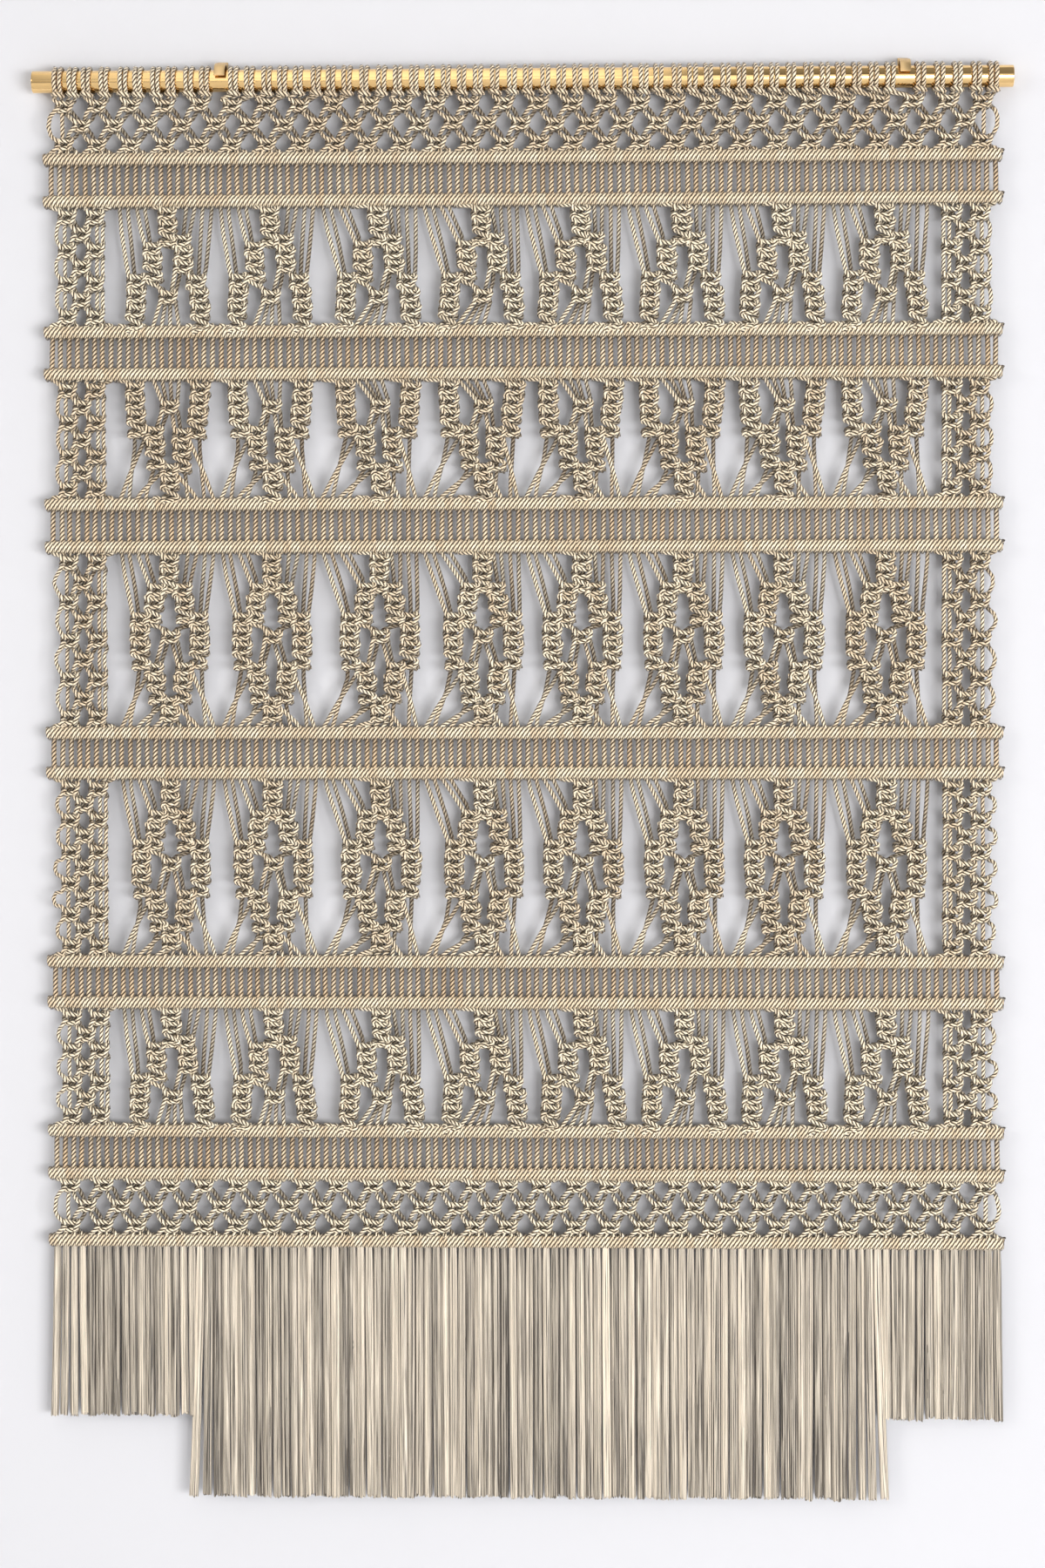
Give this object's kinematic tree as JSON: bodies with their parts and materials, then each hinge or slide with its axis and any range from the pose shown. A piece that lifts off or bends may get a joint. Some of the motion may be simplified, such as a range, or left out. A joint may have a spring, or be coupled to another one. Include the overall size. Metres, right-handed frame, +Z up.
{
  "type": "macrame wall hanging with brass rod and wall hooks",
  "caption": "Wide knotted cord hanging with wrapped bars, knotted openwork bands and a stepped fringe, hung from a brass rod in wall hooks.",
  "frame": {"origin": "on the wall, at the back face of the left hook, 8 mm above the rod's axis", "axes": "+X runs along the rod to the viewer's right, +Y points into the wall, +Z is up"},
  "size_m": [1.127, 0.036, 1.6575],
  "materials": {
    "rod": "polished",
    "hook": "satin",
    "screw": "satin",
    "cord": "twisted cord with a silky sheen",
    "yarn": "loose silky yarn"
  },
  "bodies": {
    "root": {"rod": "rod", "left_hook": "hook", "right_hook": "hook", "left_screw": "screw", "right_screw": "screw", "net": "cord", "fringe": "yarn"}
  },
  "joints": []
}
